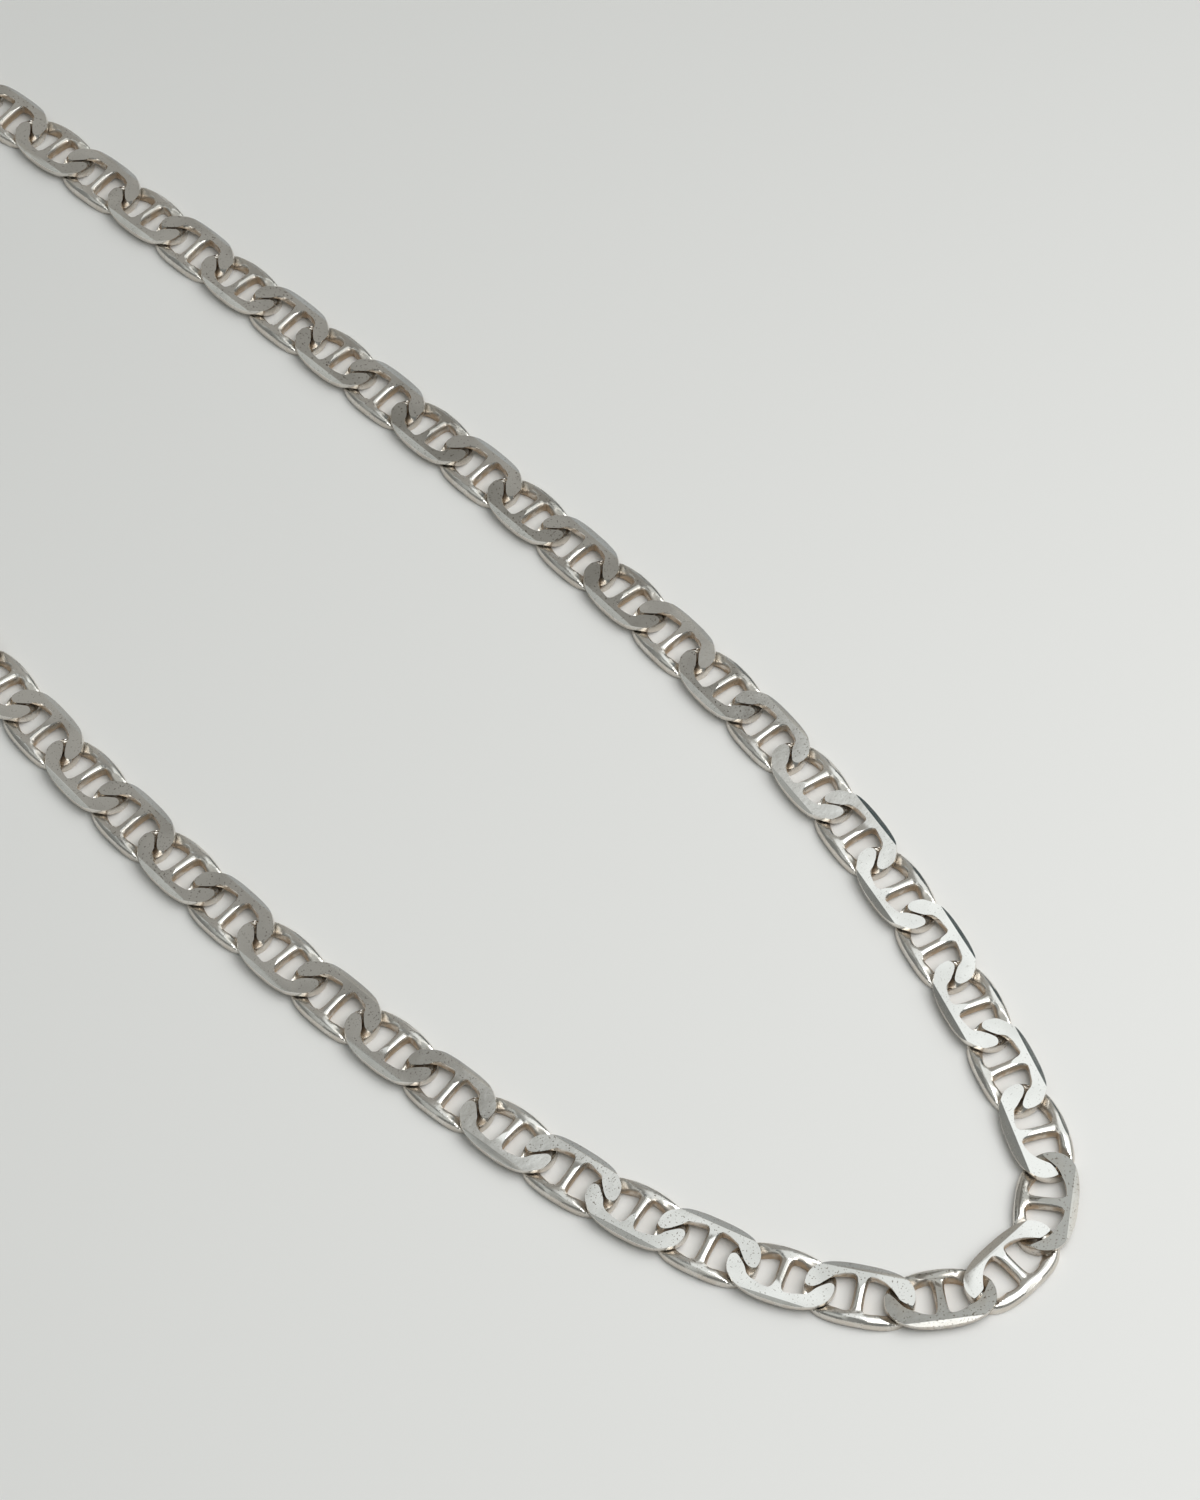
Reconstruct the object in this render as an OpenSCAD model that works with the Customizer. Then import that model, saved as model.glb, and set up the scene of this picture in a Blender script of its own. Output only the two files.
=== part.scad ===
// Flat mariner link necklace, lying flat as one closed loop.
// Each link is an oval ring of wire with a bar across it. One long side, its rim, stands a little
// high and the other a little low, and the next link is the mirror image, so that where two links
// cross, each one's high rim passes over the other's low rim. Top and bottom are ground flat.
// Dimensions in millimetres. The loop is long along Y and rests on z = 0.

/* [Link] */
// Distance from one link to the next
link_pitch = 6.8; // [6.7:0.05:6.9]
// Length of a link over its two lobes
link_length = 9.7; // [9.6:0.05:9.8]
// Width of a link over its two rims
link_width = 5.5; // [5.3:0.05:5.7]
// Thickness of the chain between its ground faces
thickness = 1.4; // [1.3:0.05:1.5]
// Width of the wire at the rims
rim_wire = 1.12; // [1:0.02:1.2]
// Width of the wire at the lobes
lobe_wire = 1.34; // [1.2:0.02:1.36]
// Width of the bar at its middle
bar_width = 0.7; // [0.5:0.05:0.9]
// Height of the bar at its middle
bar_height = 0.8; // [0.6:0.05:1]
// Gap between two links where they cross
link_gap = 0.32; // [0.31:0.01:0.34]

/* [Fastening] */
// Wire of the two small rings beside the clasp
ring_wire = 0.7; // [0.6:0.05:0.8]
// Inside diameter of the two small rings
ring_hole = 3.6; // [3.5:0.05:3.7]
// Width of the clasp's loop
clasp_width = 5.8; // [5.4:0.1:6.4]
// Thickness of the clasp's loop
clasp_wire = 1.1; // [1:0.05:1.1]
// Diameter of the clasp's barrel
barrel_width = 3.4; // [3.3:0.05:3.5]
// Wire of the eye at the clasp's tail
eye_wire = 0.9; // [0.8:0.05:0.95]

/* [Hidden] */

silver = [0.78, 0.79, 0.8];
half_thick = thickness / 2;

// Route of the chain from one end ring to the other: how many links, and how far the chain turns
// after each of them, in degrees.
stretches = [
    // links, turn
    [4, -14],
    [6, 1.5],
    [10, -0.4],
    [5, -1],
    [7, -2.5],
    [1, -5],
    [1, -27],
    [1, -37],
    [1, -36],
    [1, -20],
    [2, -7],
    [3, -4],
    [10, -1.2],
    [15, 0.7],
    [4, -19]
];
first_place = [13.94, 110.53];
first_heading = -39.5;
turns = [for (s = stretches) for (i = [1:s[0]]) s[1]];
link_count = len(turns) + 1;

function along(heading) = [cos(heading), sin(heading)];
headings = [
    for (i = 0, h = first_heading; i < link_count; h = h + (i < len(turns) ? turns[i] : 0), i = i + 1)
        h
];
places = [
    for (i = 0, p = first_place; i < link_count;
         p = i < len(turns) ? p + link_pitch * along(headings[i] + turns[i] / 2) : p, i = i + 1) p
];

// The links next to the clasp climb a little, so that the end rings can pass under their lobes.
climb_links = 4;
climb_step = 1.2;
function steps_up(i) = max(0, climb_links - i, i - link_count + 1 + climb_links);
function climb(i) = (i < climb_links ? -climb_step : climb_step) * steps_up(i);
function level(steps) =
    steps == 0 ? 0
    : steps == 1 ? link_length / 2 * sin(climb_step)
    : level(steps - 1) + link_pitch * sin(climb_step * (steps - 0.5));

// Centre line of a link's wire: a superellipse that rises over the next link's low rim and sinks
// under its high one. Side is 1 where the rim at +y is the high one, and -1 where it is low.
line_power = 0.84;
line_x = (link_length - lobe_wire) / 2;
line_y = (link_width - rim_wire) / 2;
rim_rise = 0.2;
crossing_rise = 1.05;
function bow(v) = sign(v) * pow(abs(v), line_power);
function bow_normal(v) = sign(v) * pow(abs(v), 2 - line_power);
function wire_rise(a) = sin(a) * (rim_rise + crossing_rise * pow(cos(a), 2));
function wire_line(a, side) = [line_x * bow(cos(a)), line_y * bow(sin(a)), side * wire_rise(a)];
function outward(a) =
    let (n = [bow_normal(cos(a)) / line_x, bow_normal(sin(a)) / line_y, 0]) n / norm(n);

// Fence between two links where they cross. Seen from halfway between them it is a twisted strip,
// upright between the lobes and flat under the high rims, and each link keeps to its own side.
fence_reach = 55;
fence_step = 5;
fence_twist = 1.7;
fence_length = 2.4;
fence_slack = 0.02;
fence_flat = 89;
function to_crossing(p, turn) = [
    p.x * cos(turn / 2) + p.y * sin(turn / 2) - link_pitch / 2,
    p.y * cos(turn / 2) - p.x * sin(turn / 2),
    p.z
];
function from_crossing(q, turn) =
    let (x = q.x + link_pitch / 2) [
        x * cos(turn / 2) - q.y * sin(turn / 2),
        q.y * cos(turn / 2) + x * sin(turn / 2),
        q.z
    ];
function fence(turn, side) = [
    for (a = [-fence_reach:fence_step:fence_reach])
        let (q = to_crossing(wire_line(a, side), turn))
        [q.y, between(fence_twist * atan2(q.z, q.x), -90, 90)]
];
function between(v, low, high) = min(high, max(low, v));
function behind_fence(q, table, gap) =
    let (
        angle = lookup(q.y, table),
        short = gap / 2 - q.x * cos(angle) - q.z * sin(angle),
        z = between(q.z + short * sin(angle), -half_thick, half_thick)
    )
    short <= 0 || q.x < -fence_length ? q
    : abs(angle) < fence_flat ? [(gap / 2 - z * sin(angle)) / cos(angle), q.y, z]
    : [q.x, q.y, z];
function kept_clear(p, turn, table) =
    let (gap = link_gap + fence_slack * abs(turn))
    from_crossing(behind_fence(to_crossing(p, turn), table, gap), turn);
function half_turn(p) = [-p.x, p.y, -p.z];

// Stations round a link, with the same four in each quarter, and the six corners of the wire.
quarter = [0, 27, 53, 84];
angles = [
    for (k = [0:3]) quarter[k], for (k = [3:-1:0]) 180 - quarter[k],
    for (k = [1:3]) 180 + quarter[k], for (k = [3:-1:1]) 360 - quarter[k]
];
corners = 6;
flat_outer = [0.02, 0.4];
flat_inner = [-0.42, -0.42];
flat_height = 0.68;
function at_lobe(pair, a) = pair[0] + (pair[1] - pair[0]) * pow(cos(a), 2);
function wire_corners(a) =
    let (
        w = at_lobe([rim_wire, lobe_wire], a) / 2,
        outer = at_lobe(flat_outer, a),
        inner = at_lobe(flat_inner, a)
    )
    [
        [w, 0], [outer, flat_height], [inner, flat_height],
        [-w, 0], [inner, -flat_height], [outer, -flat_height]
    ];
function corner_point(a, side, c) =
    let (p = wire_line(a, side) + c[0] * outward(a) + [0, 0, c[1]])
    [p.x, p.y, between(p.z, -half_thick, half_thick)];

// Six corners of the bar at its middle, in the order of the openings that it joins.
bar_bulge = 1.2;
bar_corners = [[-1, 1], [1, 1], [bar_bulge, 0], [1, -1], [-1, -1], [-bar_bulge, 0]];
bar_points = [for (c = bar_corners) [c[0] * bar_width / 2, 0, c[1] * bar_height / 2]];

function ring_points(side, turn_ahead, turn_back) =
    let (ahead = fence(turn_ahead, side), back = fence(turn_back, -side))
    [
        for (a = angles) for (c = wire_corners(a))
            let (p = corner_point(a, side, c))
            p.x > 0 ? kept_clear(p, turn_ahead, ahead)
                    : half_turn(kept_clear(half_turn(p), turn_back, back))
    ];

function placed(p, i) =
    let (x = p.x * cos(climb(i)) - p.z * sin(climb(i)))
    [
        places[i].x + x * cos(headings[i]) - p.y * sin(headings[i]),
        places[i].y + x * sin(headings[i]) + p.y * cos(headings[i]),
        half_thick + level(steps_up(i)) + p.z * cos(climb(i)) + p.x * sin(climb(i))
    ];
function turn_after(i) = i < 0 || i >= len(turns) ? 0 : turns[i];
function link_side(i) = i % 2 == 0 ? 1 : -1;
function link_points(i) = [
    for (p = concat(ring_points(link_side(i), turn_after(i), turn_after(i - 1)), bar_points)) placed(p, i)
];

// Faces of a link: quads round the wire, without the four that the bar opens, and the bar itself.
function split_quad(a, b, c, d) = [[a, c, b], [a, d, c]];
ring_size = len(angles) * corners;
openings = [3, 10];
inner_corners = [2, 3];
function is_open(s, c) = len(search(s, openings)) > 0 && len(search(c, inner_corners)) > 0;
function ring_vertex(s, c) = (s % len(angles)) * corners + c % corners;
function opening_loop(s) = [
    ring_vertex(s + 1, 2), ring_vertex(s, 2), ring_vertex(s, 3),
    ring_vertex(s, 4), ring_vertex(s + 1, 4), ring_vertex(s + 1, 3)
];
function opening_back(s) = [
    ring_vertex(s, 2), ring_vertex(s + 1, 2), ring_vertex(s + 1, 3),
    ring_vertex(s + 1, 4), ring_vertex(s, 4), ring_vertex(s, 3)
];
link_faces = [
    for (s = [0:len(angles) - 1]) for (c = [0:corners - 1]) if (!is_open(s, c))
        each split_quad(ring_vertex(s, c), ring_vertex(s + 1, c),
                        ring_vertex(s + 1, c + 1), ring_vertex(s, c + 1)),
    for (k = [0:corners - 1]) let (n = (k + 1) % corners, loop = opening_loop(openings[0]))
        each split_quad(ring_size + k, ring_size + n, loop[n], loop[k]),
    for (k = [0:corners - 1]) let (n = (k + 1) % corners, loop = opening_back(openings[1]))
        each split_quad(loop[k], loop[n], ring_size + n, ring_size + k)
];

module links(first, last) {
    size = ring_size + corners;
    polyhedron(
        points = [for (i = [first:last]) each link_points(i)],
        faces = [for (i = [first:last]) for (f = link_faces) [for (v = f) v + (i - first) * size]],
        convexity = 10
    );
}

// Clasp and rings lie on the line between the lobes of the first and the last link.
last_link = link_count - 1;
lobe_back = placed([line_x, 0, 0], last_link);
lobe_front = placed([-line_x, 0, 0], 0);
span = lobe_front - lobe_back;
span_heading = atan2(span.y, span.x);
ring_bend = (ring_hole + ring_wire) / 2;
ring_level = ring_bend + ring_wire / 2;
ring_from_lobe = 0.6;
ring_swing = 12;
eye_from_ring = 0.78;
hook_from_ring = 0.75;

module on_span(x) {
    translate([lobe_back.x, lobe_back.y, 0]) rotate(span_heading) translate([x, 0, 0]) children();
}

module torus(bend, wire, sweep = 360) {
    rotate_extrude(angle = sweep, $fn = 48) translate([bend, 0]) circle(d = wire, $fn = 24);
}

module small_ring(x, swing) {
    on_span(x) rotate(swing) translate([0, 0, ring_level]) rotate([90, 0, 0])
        torus(ring_bend, ring_wire);
}

module clasp_ring() {
    color(silver) small_ring(ring_from_lobe, ring_swing);
}

module end_ring() {
    color(silver) small_ring(norm([span.x, span.y]) - ring_from_lobe, -ring_swing);
}

module chain_right() {
    color(silver) links(0, link_count / 2 - 1);
}

module chain_left() {
    color(silver) links(link_count / 2, last_link);
}

// The clasp is one closed piece: an eye, a turned barrel and a long loop round the end ring.
eye_bend = 1.6;
barrel_length = 2.6;
barrel_sink = 0.2;
barrel_shoulders = [0.7, 1.7];
barrel_tail = 0.7;
barrel_nose = 0.9;
barrel_outline = [
    [0, -barrel_sink],
    [barrel_tail, -barrel_sink],
    [barrel_width / 2, barrel_shoulders[0]],
    [barrel_width / 2, barrel_shoulders[1]],
    [barrel_nose, barrel_length],
    [0, barrel_length]
];

module clasp() {
    eye_x = ring_from_lobe + eye_from_ring;
    nose_x = norm([span.x, span.y]) - ring_from_lobe - hook_from_ring;
    barrel_x = eye_x + 2 * eye_bend;
    loop_bend = (clasp_width - clasp_wire) / 2;
    loop_back = barrel_x + barrel_length + loop_bend - clasp_wire;
    loop_front = nose_x - loop_bend;
    color(silver) on_span(0) translate([0, 0, barrel_width / 2]) union() {
        translate([eye_x + eye_bend, 0, 0]) torus(eye_bend, eye_wire);
        translate([barrel_x, 0, 0]) rotate([0, 90, 0]) rotate_extrude($fn = 48)
            polygon(barrel_outline);
        translate([loop_back, 0, 0]) rotate(90) torus(loop_bend, clasp_wire, 180);
        translate([loop_front, 0, 0]) rotate(-90) torus(loop_bend, clasp_wire, 180);
        for (y = [-loop_bend, loop_bend])
            translate([loop_back, y, 0]) rotate([0, 90, 0])
                cylinder(d = clasp_wire, h = loop_front - loop_back, $fn = 24);
    }
}

chain_right();
chain_left();
clasp_ring();
end_ring();
clasp();
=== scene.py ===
"""Flat mariner link neck chain in worn silver, lying on a pale floor.

Lengths in the tables below are in millimetres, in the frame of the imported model. Every piece is
turned into metres as its mesh is made.
"""

import math

import bmesh
import bpy
import numpy as np
from mathutils import Matrix, Vector


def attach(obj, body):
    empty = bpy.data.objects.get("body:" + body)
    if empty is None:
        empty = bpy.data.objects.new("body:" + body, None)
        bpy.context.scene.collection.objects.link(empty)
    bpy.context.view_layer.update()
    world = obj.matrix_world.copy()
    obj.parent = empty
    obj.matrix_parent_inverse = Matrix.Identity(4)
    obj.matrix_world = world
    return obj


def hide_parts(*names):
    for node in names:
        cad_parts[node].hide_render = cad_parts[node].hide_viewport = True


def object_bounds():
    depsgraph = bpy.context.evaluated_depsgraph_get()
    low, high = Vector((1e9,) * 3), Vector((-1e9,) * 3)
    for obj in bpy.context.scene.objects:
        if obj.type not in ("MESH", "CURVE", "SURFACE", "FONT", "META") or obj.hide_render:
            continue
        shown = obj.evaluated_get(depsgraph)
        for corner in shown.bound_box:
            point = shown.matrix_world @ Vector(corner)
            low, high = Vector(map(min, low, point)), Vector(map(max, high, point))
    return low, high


MM = 0.001

# Link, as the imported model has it: its pitch along the chain, its size, the width of its wire at
# the rims and at the lobes, and the line of the wire's middle with how far it rises and sinks
PITCH = 6.8
LINK_LENGTH = 9.7
LINK_WIDTH = 5.5
HALF_THICK = 0.7
RIM_WIRE = 1.12
LOBE_WIRE = 1.34
LINE_X = (LINK_LENGTH - LOBE_WIRE) / 2
LINE_Y = (LINK_WIDTH - RIM_WIRE) / 2
LINE_POWER = 0.84
RIM_RISE = 0.2
CROSSING_RISE = 1.05

# Route of the chain: how many links, and how far it turns after each of them, in degrees. The
# links nearest to the clasp climb to it, each a little steeper than the one before.
STRETCHES = [
    (4, -14), (6, 1.5), (10, -0.4), (5, -1), (7, -2.5), (1, -5), (1, -27), (1, -37),
    (1, -36), (1, -20), (2, -7), (3, -4), (10, -1.2), (15, 0.7), (4, -19),
]
FIRST_PLACE = (13.94, 110.53)
FIRST_HEADING = -39.5
CLIMB_LINKS = 4
CLIMB_STEP = 1.2

# Where two links cross: the gap between them, how much the way along the chain counts less than
# the way across it, how far from the crossing it is kept and in how many steps
CONTACT_GAP = 0.11
CONTACT_SQUEEZE = 0.54
CONTACT_REACH = 2.6
CONTACT_STEPS = 6

# Extra gap under the tip of a lobe: its size, where it starts and over what length it grows, and
# how it grows with the distance from the link's middle plane. It fades as the chain turns.
TIP_WEAR = 0.8
TIP_START = 0.5
TIP_LENGTH = 0.9
WEAR_GROWTH = 4
WEAR_DELAY = 1.4
FULL_TURN = 22
EVENING_STEPS = 2

# Smoothing of the cage, the angle that stays sharp, and the least upward part of a flat's normal
SMOOTHING_LEVELS = 2
SHARP_ANGLE = 22
FLAT_UP = 0.985

# Facet along a high rim: how far from the middle it starts, and its slope; and the facet along a
# low rim with the height at which it starts
FACET_START = 2.15
FACET_SLOPE = 17
LOW_START = 2.28
LOW_LEVEL = 0.5
LOW_SLOPE = 32

# Seeded differences between the links: in facet start and slope, in lean and in dullness; and how
# dull the rest of a link is, as a share of its flats' dullness, which on some links is painted shade
LINK_SEED = 4100
START_SPREAD = 0.1
SLOPE_SPREAD = 2
LEAN_RANGE = (-1, 1.6)
DULLNESS_RANGE = (0, 0.3)
SIDE_TONE = 0.3

# Links with values of their own, by number, in the far arm and near the camera: facet start and
# slope, then how far the ground face leans towards the low rim, in degrees, and how dull the link
# is.
# On links 15 to 25, 34 and 36 that dullness is painted shade, which darkens their flats.
LINK_VALUES = {
    # Painted shade: darker flats on the far links 15 to 25, darkest on 19 to 23
    15: (2.15, 17, 0.5, 0.3),
    17: (2.15, 17, 0.5, 0.45),
    19: (2.15, 17, 0.5, 0.6),
    21: (2.15, 17, 0.5, 0.6),
    23: (2.15, 17, 0.5, 0.6),
    25: (2.15, 17, 0.5, 0.45),
    27: (2.25, 24, -1, 0),
    28: (2.2, 24, 1.5, 0),
    29: (2.2, 28, 0, 0),
    30: (2.3, 23, 0, 0),
    31: (2.2, 30, 0, 0),
    32: (2.25, 23, 0, 0),
    33: (2.0, 28, 0, 0),
    # Painted shade on links 34 and 36: darker flats in place of the darker room that their leaning
    # flats reflect
    34: (2.1, 28, 2.8, 1.0),
    35: (2.0, 18, -1, 0),
    36: (2.25, 25, 3.8, 0.95),
    37: (2.0, 18, 0, 0.3),
    38: (2.4, 30, 0, 0.1),
    39: (2.05, 18, 0, 0.2),
}

# Wire of a quarter of a link, from its tip to the middle of its rim: angle round the link, and how
# far the wire reaches inwards, outwards and up or down from its centre line. Its cage has corners
# in turn on the wire's axes and between them, and is larger than the wire, as smoothing shrinks it.
WIRE = (
    (0, 0.85, 0.66, 1.05),
    (14, 0.95, 0.67, 1.0),
    (28, 0.98, 0.7, 0.95),
    (43, 0.9, 0.68, 0.87),
    (55, 0.76, 0.64, 0.79),
    (66, 0.6, 0.59, 0.74),
    (75, 0.54, 0.57, 0.71),
    (83, 0.53, 0.56, 0.71),
)
CORNERS = 8
CORNER_REACH = 0.82
INNER_CORNER_REACH = 0.9
CAGE_GROWTH = 1.07

# Cage of the bar: distance from the middle towards a rim, half width and half height; then its
# corners as shares of those halves, and how it slopes from one rim to the other
BAR_RINGS = ((1.3, 0.47, 0.7), (0.6, 0.42, 0.68), (-0.6, 0.42, 0.68), (-1.3, 0.47, 0.7))
BAR_BULGE = 1.2
BAR_CORNERS = ((-1, 1), (1, 1), (BAR_BULGE, 0), (1, -1), (-1, -1), (-BAR_BULGE, 0))
BAR_SLOPE = 0.12

# Tarnish: how far inside the rim it starts and ends, as shares of the link's oval, how it falls as
# a face looks up, the height below which it shows and grows, and its share outside the link
TARNISH_EDGE = 1.1
TARNISH_FADE = 0.15
TARNISH_SIDE = 1.3
TARNISH_FALL = 1.15
TARNISH_TOP = 0.66
TARNISH_DEPTH = 0.25
TARNISH_OUTSIDE = 0.35


def route():
    """Places and headings of the links."""
    turns = np.concatenate([np.full(links, turn, float) for links, turn in STRETCHES])
    headings = FIRST_HEADING + np.concatenate([[0], np.cumsum(turns)])
    middle = np.radians((headings[1:] + headings[:-1]) / 2)
    steps = PITCH * np.stack([np.cos(middle), np.sin(middle)], 1)
    places = np.array(FIRST_PLACE) + np.concatenate([[[0, 0]], np.cumsum(steps, 0)])
    return places, headings


PLACES, HEADINGS = route()
LINKS = len(PLACES)


def steps_up(i):
    return max(0, CLIMB_LINKS - i, i - LINKS + 1 + CLIMB_LINKS)


def climb(i):
    return (-CLIMB_STEP if i < CLIMB_LINKS else CLIMB_STEP) * steps_up(i)


def level(steps):
    """Height of a link's middle over the flat part of the chain."""
    if steps == 0:
        return 0.0
    if steps == 1:
        return LINK_LENGTH / 2 * math.sin(math.radians(CLIMB_STEP))
    return level(steps - 1) + PITCH * math.sin(math.radians(CLIMB_STEP * (steps - 0.5)))


def link_matrix(i):
    """From a link's own axes, in millimetres, to the frame."""
    x, y = PLACES[i]
    place = Matrix.Translation((x, y, HALF_THICK + level(steps_up(i))))
    heading = Matrix.Rotation(math.radians(HEADINGS[i]), 4, "Z")
    pitch = Matrix.Rotation(math.radians(-climb(i)), 4, "Y")
    return np.array(place @ heading @ pitch)


def side(i):
    """1 where the rim at +y is the high one, and -1 where it is the low one."""
    return 1 if i % 2 == 0 else -1


def moved(matrix, points):
    return points @ matrix[:3, :3].T + matrix[:3, 3]


def bow(v):
    return np.sign(v) * np.abs(v) ** LINE_POWER


def wire_line(angle):
    """Centre line of the wire of a link whose high rim is at +y."""
    c, s = np.cos(angle), np.sin(angle)
    rise = s * (RIM_RISE + CROSSING_RISE * c * c)
    return np.stack([LINE_X * bow(c), LINE_Y * bow(s), rise], -1)


def outward(angle):
    """Direction across the wire, away from the middle of the link."""
    c, s = np.cos(angle), np.sin(angle)
    power = 2 - LINE_POWER
    nx = np.sign(c) * np.abs(c) ** power / LINE_X
    ny = np.sign(s) * np.abs(s) ** power / LINE_Y
    return np.array([nx, ny, 0]) / math.hypot(nx, ny)


def stations():
    """Angle and reaches of the wire at each station round the link."""
    half = list(WIRE) + [(180 - angle, *reach) for angle, *reach in reversed(WIRE)]
    back = [(180 + angle, *reach) for angle, *reach in half[1:-1]]
    return half + back


def section_points(station):
    """Cage round the wire at one station, from its outer side over the top and back."""
    degrees, inwards, outwards, upwards = station
    angle = math.radians(degrees)
    centre, across = wire_line(np.array(angle)), outward(angle)
    points = []
    for k in range(CORNERS):
        turn = 2 * math.pi * k / CORNERS
        wide, high = math.cos(turn), math.sin(turn)
        if k % 2:
            wide, high = CORNER_REACH * np.sign(wide), CORNER_REACH * np.sign(high)
        reach = outwards if wide > 0 else inwards
        if k % 2 and wide < 0:
            wide, high = INNER_CORNER_REACH * np.sign(wide), INNER_CORNER_REACH * np.sign(high)
        points.append(centre + CAGE_GROWTH * (across * reach * wide
                                              + np.array([0, 0, upwards * high])))
    return points


def link_cage():
    """Mesh of one link before smoothing: a ring of wire with its bar joined in."""
    ring = stations()
    count = len(ring)
    points = [p for station in ring for p in section_points(station)]

    def vertex(s, c):
        return (s % count) * CORNERS + c % CORNERS

    open_up = len(WIRE) - 1
    open_down = open_up + count // 2
    inner = (CORNERS // 2 - 1, CORNERS // 2)
    faces = []
    for s in range(count):
        for c in range(CORNERS):
            if s in (open_up, open_down) and c in inner:
                continue
            faces.append((vertex(s, c), vertex(s + 1, c), vertex(s + 1, c + 1), vertex(s, c + 1)))
    top, mid, low = CORNERS // 2 - 1, CORNERS // 2, CORNERS // 2 + 1
    loop_up = [vertex(open_up + 1, top), vertex(open_up, top), vertex(open_up, mid),
               vertex(open_up, low), vertex(open_up + 1, low), vertex(open_up + 1, mid)]
    loop_down = [vertex(open_down, top), vertex(open_down + 1, top), vertex(open_down + 1, mid),
                 vertex(open_down + 1, low), vertex(open_down, low), vertex(open_down, mid)]
    loops = [loop_up]
    for y, half_w, half_h in BAR_RINGS:
        z = BAR_SLOPE * y
        first = len(points)
        for x, up in BAR_CORNERS:
            points.append(np.array([x * half_w, y, z + up * half_h]))
        loops.append(list(range(first, len(points))))
    loops.append(loop_down)
    for near, far in zip(loops, loops[1:]):
        for k in range(len(near)):
            n = (k + 1) % len(near)
            faces.append((near[k], near[n], far[n], far[k]))
    return np.array(points), faces


def smoothed(points, faces, levels):
    """Catmull-Clark subdivision of a cage, as plain arrays."""
    mesh = bpy.data.meshes.new("cage")
    mesh.from_pydata([tuple(p) for p in points], [], faces)
    holder = bpy.data.objects.new("cage", mesh)
    bpy.context.scene.collection.objects.link(holder)
    subdivide = holder.modifiers.new("smooth", "SUBSURF")
    subdivide.levels = subdivide.render_levels = levels
    graph = bpy.context.evaluated_depsgraph_get()
    fine = holder.evaluated_get(graph).to_mesh()
    result = np.array([v.co for v in fine.vertices], float)
    quads = [tuple(p.vertices) for p in fine.polygons]
    holder.to_mesh_clear()
    bpy.data.objects.remove(holder)
    bpy.data.meshes.remove(mesh)
    return result, quads


LINE_SAMPLES = wire_line(np.radians(np.arange(0, 360, 2.5)))


def mirror(points, which):
    return points * np.array([1, which, 1])


def nearest(points, line, metric):
    """Distance of each point to a sampled line, and the nearest sample."""
    apart = points[:, None] - line[None]
    gaps = np.sqrt(np.einsum("abi,ij,abj->ab", apart, metric, apart))
    best = gaps.argmin(1)
    return gaps[np.arange(len(points)), best], line[best]


def unit(vectors):
    return vectors / np.maximum(np.linalg.norm(vectors, axis=1), 1e-6)[:, None]


def kept_apart(points, own_line, other_line, middle, wear):
    """Moves points that are nearer to the next link's wire than to their own back to their side."""
    along = middle / np.linalg.norm(middle)
    metric = np.eye(3) - (1 - CONTACT_SQUEEZE ** 2) * np.outer(along, along)
    near = np.linalg.norm(points - middle, axis=1) < CONTACT_REACH
    work = points[near]
    reach = np.linalg.norm((work - middle)[:, :2], axis=1)
    worn = np.clip((reach - TIP_START) / TIP_LENGTH, 0, 1) ** 2
    raised = np.clip(WEAR_GROWTH * np.abs(work[:, 2]) - WEAR_DELAY, 0, 1)
    gap = CONTACT_GAP + wear * worn * raised
    for _ in range(CONTACT_STEPS):
        own, own_at = nearest(work, own_line, metric)
        other, other_at = nearest(work, other_line, metric)
        short = (own - other + gap) / 2
        way = unit(unit(work - other_at) + unit(own_at - work))
        work = np.where((short > 0)[:, None], work + way * short[:, None], work)
    result = points.copy()
    result[near] = work
    return result


def evened(moves, edges):
    """Moves of a mesh's points, averaged with those of their neighbours."""
    counts = np.bincount(edges.ravel(), minlength=len(moves))[:, None]
    for _ in range(EVENING_STEPS):
        total = np.zeros_like(moves)
        np.add.at(total, edges[:, 0], moves[edges[:, 1]])
        np.add.at(total, edges[:, 1], moves[edges[:, 0]])
        moves = (moves + total / counts) / 2
    return moves


def fine_link(i, shape, edges):
    """One link's points in its own axes, kept clear of both neighbours."""
    points = mirror(shape, side(i))
    own = mirror(LINE_SAMPLES, side(i))
    back = np.linalg.inv(link_matrix(i))
    for other in (i + 1, i - 1):
        if 0 <= other < LINKS:
            there = back @ link_matrix(other)
            line = moved(there, mirror(LINE_SAMPLES, side(other)))
            turn = abs(HEADINGS[i] - HEADINGS[other])
            wear = TIP_WEAR * max(0, 1 - turn / FULL_TURN)
            apart = kept_apart(points, own, line, there[:3, 3] / 2, wear)
            points = points + evened(apart - points, edges)
    return points


def facet_planes(i, rng):
    """Planes that a link is ground to: a point and an outward normal each."""
    if i in LINK_VALUES:
        start, slope, lean, _ = LINK_VALUES[i]
    else:
        start = FACET_START + rng.uniform(-START_SPREAD, START_SPREAD)
        slope = FACET_SLOPE + rng.uniform(-SLOPE_SPREAD, SLOPE_SPREAD)
        lean = rng.uniform(*LEAN_RANGE)
    leaning = np.array([0, -math.radians(lean), 1])
    down, up = math.sin(math.radians(slope)), math.cos(math.radians(slope))
    low_down, low_up = math.sin(math.radians(LOW_SLOPE)), math.cos(math.radians(LOW_SLOPE))
    planes = [
        ((0, start, HALF_THICK), leaning),
        ((0, start, HALF_THICK), (0, down, up)),
        ((0, -LOW_START, LOW_LEVEL), (0, -low_down, low_up)),
    ]
    turned = [((0, -y, -z), (0, -ny, -nz)) for (_, y, z), (_, ny, nz) in planes[1:]]
    planes += [((0, 0, -HALF_THICK), (0, 0, -1))] + turned
    return [(mirror(np.array(point), side(i)), mirror(np.array(normal), side(i)))
            for point, normal in planes]


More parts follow.
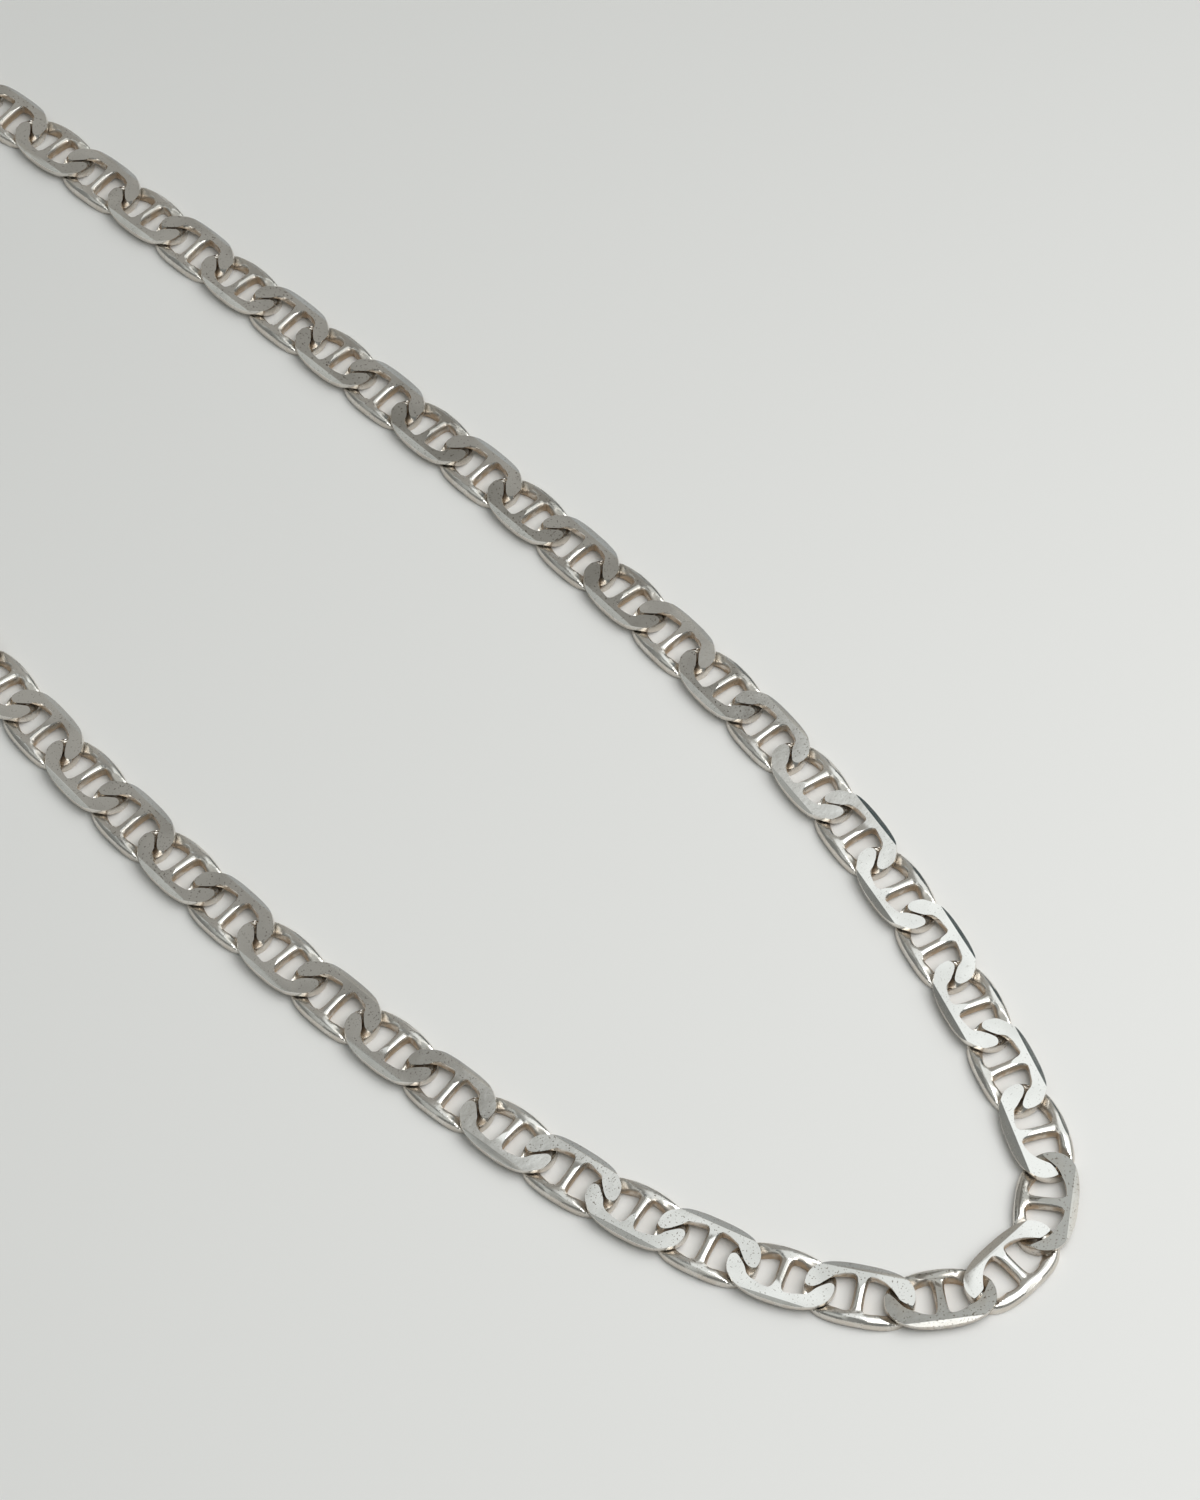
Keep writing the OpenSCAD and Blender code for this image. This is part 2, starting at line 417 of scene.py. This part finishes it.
def ground(part, planes):
    """Cuts a link to its planes."""
    for point, normal in planes:
        cut = bmesh.ops.bisect_plane(
            part, geom=part.verts[:] + part.edges[:] + part.faces[:], dist=1e-5,
            plane_co=point, plane_no=normal, clear_outer=True)
        rim = [e for e in cut["geom_cut"] if isinstance(e, bmesh.types.BMEdge)]
        if rim:
            bmesh.ops.edgeloop_fill(part, edges=rim)
    bmesh.ops.recalc_face_normals(part, faces=part.faces[:])


def tarnish_of(places, normals):
    """How tarnished a link is, from 0 to 1: most where nothing rubs it."""
    power = 2 / LINE_POWER
    oval = (np.abs(places[:, 0] / LINE_X) ** power + np.abs(places[:, 1] / LINE_Y) ** power)
    inside = np.clip((TARNISH_EDGE - oval ** (1 / power)) / TARNISH_FADE, 0, 1)
    facing_side = np.clip(TARNISH_SIDE - TARNISH_FALL * normals[:, 2], 0, 1)
    depth = np.clip((TARNISH_TOP - places[:, 2]) / TARNISH_DEPTH, 0, 1)
    return (TARNISH_OUTSIDE + (1 - TARNISH_OUTSIDE) * inside) * facing_side * depth


def finished_link(i, shape, faces, edges, rng):
    """Corners in the frame, faces, tarnish of the corners and which faces are flats, of a link."""
    points = fine_link(i, shape, edges)
    part = bmesh.new()
    flip = side(i) < 0
    made = [part.verts.new(p) for p in points]
    for f in faces:
        part.faces.new([made[v] for v in (reversed(f) if flip else f)])
    ground(part, facet_planes(i, rng))
    part.normal_update()
    part.verts.index_update()
    places = np.array([v.co for v in part.verts])
    normals = np.array([v.normal for v in part.verts])
    corners = [[v.index for v in f.verts] for f in part.faces]
    flat = np.array([f.normal.z > FLAT_UP for f in part.faces], float)
    part.free()
    return moved(link_matrix(i), places) * MM, corners, tarnish_of(places, normals), flat


def add_attribute(mesh, name, domain, values):
    mesh.attributes.new(name, "FLOAT", domain).data.foreach_set("value", np.concatenate(values))


def chain_piece(name, first, last, shape, faces, material, box):
    """A run of links as one mesh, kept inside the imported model's box."""
    edges = {tuple(sorted(pair)) for f in faces for pair in zip(f, f[1:] + f[:1])}
    edges = np.array(sorted(edges))
    places, corners, tarnish, face_dullness_and_shade, wires = [], [], [], [], []
    count = 0
    for i in range(first, last + 1):
        rng = np.random.default_rng(LINK_SEED + i)
        link_places, link_corners, link_tarnish, flat = finished_link(i, shape, faces, edges, rng)
        places.append(link_places)
        corners += [[v + count for v in f] for f in link_corners]
        tarnish.append(link_tarnish)
        # Dullness of the link, random or listed; on links 15 to 25, 34 and 36 it is painted shade
        dullness_and_shade = LINK_VALUES[i][3] if i in LINK_VALUES else rng.uniform(*DULLNESS_RANGE)
        face_dullness_and_shade.append(dullness_and_shade * (SIDE_TONE + (1 - SIDE_TONE) * flat))
        wires.append(1 - flat)
        count += len(link_places)
    mesh = bpy.data.meshes.new(name)
    mesh.from_pydata(np.clip(np.concatenate(places), *box).tolist(), [], corners)
    mesh.shade_smooth()
    mesh.set_sharp_from_angle(angle=math.radians(SHARP_ANGLE))
    add_attribute(mesh, "tarnish", "POINT", tarnish)
    add_attribute(mesh, "dullness_and_shade", "FACE", face_dullness_and_shade)
    add_attribute(mesh, "wire", "FACE", wires)
    mesh.materials.append(material)
    piece = bpy.data.objects.new(name, mesh)
    bpy.context.scene.collection.objects.link(piece)
    return piece


def new_material(name):
    material = bpy.data.materials.new(name)
    material.use_nodes = True
    return material, material.node_tree.nodes, material.node_tree.links


def ramp(nodes, links, source, low, high):
    """Maps a value from low..high to 0..1, smoothly."""
    node = nodes.new("ShaderNodeMapRange")
    node.interpolation_type = "SMOOTHSTEP"
    node.inputs["From Min"].default_value = low
    node.inputs["From Max"].default_value = high
    links.new(source, node.inputs["Value"])
    return node.outputs["Result"]


def math_node(nodes, links, operation, a, b):
    node = nodes.new("ShaderNodeMath")
    node.operation = operation
    node.use_clamp = True
    for socket, value in zip(node.inputs, (a, b)):
        if isinstance(value, (int, float)):
            socket.default_value = value
        else:
            links.new(value, socket)
    return node.outputs[0]


def noise(nodes, links, source, scale, detail):
    node = nodes.new("ShaderNodeTexNoise")
    node.inputs["Scale"].default_value = scale
    node.inputs["Detail"].default_value = detail
    links.new(source, node.inputs["Vector"])
    return node.outputs["Fac"]


def mix_colour(nodes, links, factor, a, b):
    node = nodes.new("ShaderNodeMix")
    node.data_type = "RGBA"
    links.new(factor, node.inputs["Factor"])
    for socket, value in zip((node.inputs["A"], node.inputs["B"]), (a, b)):
        if isinstance(value, tuple):
            socket.default_value = value
        else:
            links.new(value, socket)
    return node.outputs["Result"]


def attribute(nodes, name):
    node = nodes.new("ShaderNodeAttribute")
    node.attribute_name = name
    return node.outputs["Fac"]


CLEAN_SILVER = (0.9, 0.895, 0.88, 1)
WIRE_SILVER = (0.81, 0.79, 0.75, 1)
DULL_AND_SHADED_SILVER = (0.43, 0.425, 0.405, 1)
BROWN = (0.56, 0.44, 0.32, 1)
PIT = (0.16, 0.13, 0.1, 1)

# Noise over the silver: how many waves to a metre, and its detail
CLOUD = (900, 3)
PATCH = (220, 2)
SPECKS = (5200, 1)

# The parts of each noise that show, as its values where that begins and where it is full
CLOUD_EDGE = (0.3, 0.7)
PATCH_EDGE = (0.4, 0.65)
PIT_EDGE = (0.64, 0.71)

# How strong the pits are on bright silver and by how much more on dull silver, how dull a patch
# is, and the tarnish that stays between its clouds
PIT_SHARE = 0.18
PIT_GROWTH = 2
PATCH_DULLNESS = 0.25
TARNISH_BASE = 0.4

# Roughness of the flats, least and most, and what wire off the flats and tarnish add to it; then
# the strength and the depth in metres of the fine bumps
GROUND_ROUGHNESS = (0.05, 0.12)
WIRE_ROUGHNESS = 0.12
TARNISH_ROUGHNESS = 0.4
BUMP_STRENGTH = 0.12
BUMP_DEPTH = 0.00004


def worn_silver(name):
    """Silver with satin ground faces, dark pits, brown tarnish where it isn't rubbed, and painted
    shade on the flats of a few links.

    It reads three values of the mesh: tarnish, how dull it is (on a few links painted shade) and
    wire (1 off the flats).
    """
    material, nodes, links = new_material(name)
    shader = nodes["Principled BSDF"]
    shader.inputs["Metallic"].default_value = 1
    place = nodes.new("ShaderNodeTexCoord").outputs["Object"]
    tarnish = attribute(nodes, "tarnish")
    dullness_and_shade = attribute(nodes, "dullness_and_shade")
    wire = attribute(nodes, "wire")

    def added(a, b):
        return math_node(nodes, links, "ADD", a, b)

    def times(a, b):
        return math_node(nodes, links, "MULTIPLY", a, b)

    cloud = noise(nodes, links, place, *CLOUD)
    patch = noise(nodes, links, place, *PATCH)
    specks = noise(nodes, links, place, *SPECKS)
    worn = added(PIT_SHARE, times(dullness_and_shade, PIT_GROWTH))
    pits = times(ramp(nodes, links, specks, *PIT_EDGE), worn)
    # Darker silver by the link's dullness and by random patches; on a few links the dullness is
    # painted shade
    dullness_and_shade_mask = added(dullness_and_shade, times(ramp(nodes, links, patch, *PATCH_EDGE), PATCH_DULLNESS))
    clean = mix_colour(nodes, links, wire, CLEAN_SILVER, WIRE_SILVER)
    dull_and_shaded = mix_colour(nodes, links, dullness_and_shade_mask, clean, DULL_AND_SHADED_SILVER)
    ragged = times(tarnish, added(ramp(nodes, links, cloud, *CLOUD_EDGE), TARNISH_BASE))
    browned = mix_colour(nodes, links, ragged, dull_and_shaded, BROWN)
    colour = mix_colour(nodes, links, pits, browned, PIT)
    links.new(colour, shader.inputs["Base Color"])
    grain = nodes.new("ShaderNodeMapRange")
    grain.inputs["To Min"].default_value, grain.inputs["To Max"].default_value = GROUND_ROUGHNESS
    links.new(cloud, grain.inputs["Value"])
    satin = added(grain.outputs["Result"], times(wire, WIRE_ROUGHNESS))
    rough = added(satin, times(ragged, TARNISH_ROUGHNESS))
    links.new(rough, shader.inputs["Roughness"])
    bump = nodes.new("ShaderNodeBump")
    bump.inputs["Strength"].default_value = BUMP_STRENGTH
    bump.inputs["Distance"].default_value = BUMP_DEPTH
    links.new(cloud, bump.inputs["Height"])
    links.new(bump.outputs["Normal"], shader.inputs["Normal"])
    return material


def build_chain(material, box):
    """The chain's links in pieces of equal length, two to each half of the chain."""
    shape, faces = smoothed(*link_cage(), levels=SMOOTHING_LEVELS)
    pieces = {}
    runs = 4
    per_run = LINKS // runs
    for r in range(runs):
        name = f"links_{'right' if r < 2 else 'left'}_{r % 2 + 1}"
        pieces[name] = chain_piece(name, r * per_run, (r + 1) * per_run - 1,
                                   shape, faces, material, box)
    return pieces


# Camera, found from the photo: its height over the chain's middle plane, its tilt below the
# horizontal and its roll, and the focal length in pixels of the photo
PHOTO_HEIGHT = 1500
FOCAL_PIXELS = 4111.5
SENSOR = 36.0
CAMERA_HEIGHT = 315.2
CAMERA_PLACE = (-130.33, -206.55)
CAMERA_HEADING = 47.434
CAMERA_TILT = 56.57
CAMERA_ROLL = -2.83


def add_camera():
    tilt = math.radians(CAMERA_TILT)
    roll = math.radians(CAMERA_ROLL)
    heading = math.radians(CAMERA_HEADING)
    ahead = Vector((math.cos(heading), math.sin(heading), 0))
    right = Vector((math.sin(heading), -math.cos(heading), 0))
    view = ahead * math.cos(tilt) - Vector((0, 0, 1)) * math.sin(tilt)
    up = ahead * math.sin(tilt) + Vector((0, 0, 1)) * math.cos(tilt)
    axis_x = right * math.cos(roll) + up * math.sin(roll)
    axis_y = up * math.cos(roll) - right * math.sin(roll)
    data = bpy.data.cameras.new("camera")
    data.sensor_width = SENSOR
    data.lens = FOCAL_PIXELS * SENSOR / PHOTO_HEIGHT
    data.clip_start = 0.01
    data.clip_end = 20
    camera = bpy.data.objects.new("camera", data)
    bpy.context.scene.collection.objects.link(camera)
    turn = Matrix((axis_x, axis_y, -view)).transposed().to_4x4()
    place = Vector((*CAMERA_PLACE, CAMERA_HEIGHT + HALF_THICK)) * MM
    camera.matrix_world = Matrix.Translation(place) @ turn
    bpy.context.scene.camera = camera


def add_area(name, place, target, size, power):
    data = bpy.data.lights.new(name, "AREA")
    data.shape = "RECTANGLE"
    data.size, data.size_y = size
    data.energy = power
    light = bpy.data.objects.new(name, data)
    bpy.context.scene.collection.objects.link(light)
    light.location = place
    light.rotation_euler = (Vector(target) - Vector(place)).to_track_quat("-Z", "Y").to_euler()


FLOOR_HALF = 3.0
FLOOR_COLOUR = (0.785, 0.779, 0.766, 1)
FLOOR_ROUGHNESS = 0.7
FLOOR_SHEEN = 0.3


def add_floor():
    mesh = bpy.data.meshes.new("floor")
    half = FLOOR_HALF
    mesh.from_pydata([(-half, -half, 0), (half, -half, 0), (half, half, 0), (-half, half, 0)],
                     [], [(0, 1, 2, 3)])
    floor = bpy.data.objects.new("floor", mesh)
    bpy.context.scene.collection.objects.link(floor)
    material = bpy.data.materials.new("floor")
    material.use_nodes = True
    shader = material.node_tree.nodes["Principled BSDF"]
    shader.inputs["Base Color"].default_value = FLOOR_COLOUR
    shader.inputs["Roughness"].default_value = FLOOR_ROUGHNESS
    shader.inputs["Specular IOR Level"].default_value = FLOOR_SHEEN
    mesh.materials.append(material)


# The room round the chain, and patches in it, of which a later one covers an earlier one: azimuth
# and elevation of a patch, its reach from there and how soft its edge is, in degrees, and its
# colour. The last one is the soft light overhead.
ROOM = (0.2, 0.21, 0.205, 1)
ROOM_PATCHES = (
    (55, 32, 34, 12, (0.355, 0.345, 0.315, 1)),
    (8, 18, 15, 5, (0.035, 0.06, 0.07, 1)),
    (32, 24, 11, 4, (0.43, 0.46, 0.47, 1)),
    (106, 57, 9, 4, (0.6, 0.63, 0.62, 1)),
    (165, 60, 18, 4, (0.6, 0.63, 0.62, 1)),
    (-35, 60, 38.2, 1.8, (0.95, 0.98, 0.96, 1)),
)


def add_world():
    """Bright soft overhead light with a darker room around it, by direction."""
    world = bpy.data.worlds.new("world")
    bpy.context.scene.world = world
    world.use_nodes = True
    nodes, links = world.node_tree.nodes, world.node_tree.links
    way = nodes.new("ShaderNodeTexCoord").outputs["Generated"]

    def towards(azimuth, elevation):
        node = nodes.new("ShaderNodeVectorMath")
        node.operation = "DOT_PRODUCT"
        flat = math.cos(math.radians(elevation))
        node.inputs[1].default_value = (flat * math.cos(math.radians(azimuth)),
                                        flat * math.sin(math.radians(azimuth)),
                                        math.sin(math.radians(elevation)))
        links.new(way, node.inputs[0])
        return node.outputs["Value"]

    def within(dot, angle, soft):
        return ramp(nodes, links, dot, math.cos(math.radians(angle + soft)),
                    math.cos(math.radians(angle - soft)))

    room = ROOM
    for azimuth, elevation, reach, soft, colour in ROOM_PATCHES:
        patch = within(towards(azimuth, elevation), reach, soft)
        room = mix_colour(nodes, links, patch, room, colour)
    links.new(room, nodes["Background"].inputs["Color"])
    nodes["Background"].inputs["Strength"].default_value = 1.0


# Key light, in metres and watts
KEY_PLACE = (0.08, -0.2, 0.26)
KEY_TARGET = (0.0, -0.12, 0)
KEY_SIZE = (0.24, 0.24)
KEY_POWER = 0.5


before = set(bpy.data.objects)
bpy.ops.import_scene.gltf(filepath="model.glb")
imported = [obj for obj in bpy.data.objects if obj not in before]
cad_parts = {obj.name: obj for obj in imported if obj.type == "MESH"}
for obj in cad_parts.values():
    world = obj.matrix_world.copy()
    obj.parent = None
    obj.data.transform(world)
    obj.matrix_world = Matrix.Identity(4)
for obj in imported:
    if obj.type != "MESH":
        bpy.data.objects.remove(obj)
bpy.context.scene.view_settings.view_transform = "Standard"
cad_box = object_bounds()
add_camera()
add_floor()
add_world()
add_area("key", KEY_PLACE, KEY_TARGET, KEY_SIZE, KEY_POWER)
silver = worn_silver("silver_links")
for name, piece in build_chain(silver, np.array([list(v) for v in cad_box])).items():
    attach(piece, "root")
    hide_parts("chain_right" if "right" in name else "chain_left")
clasp_silver = worn_silver("silver_clasp")
for node in ("clasp", "clasp_ring", "end_ring"):
    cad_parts[node].data.materials.clear()
    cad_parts[node].data.materials.append(clasp_silver)
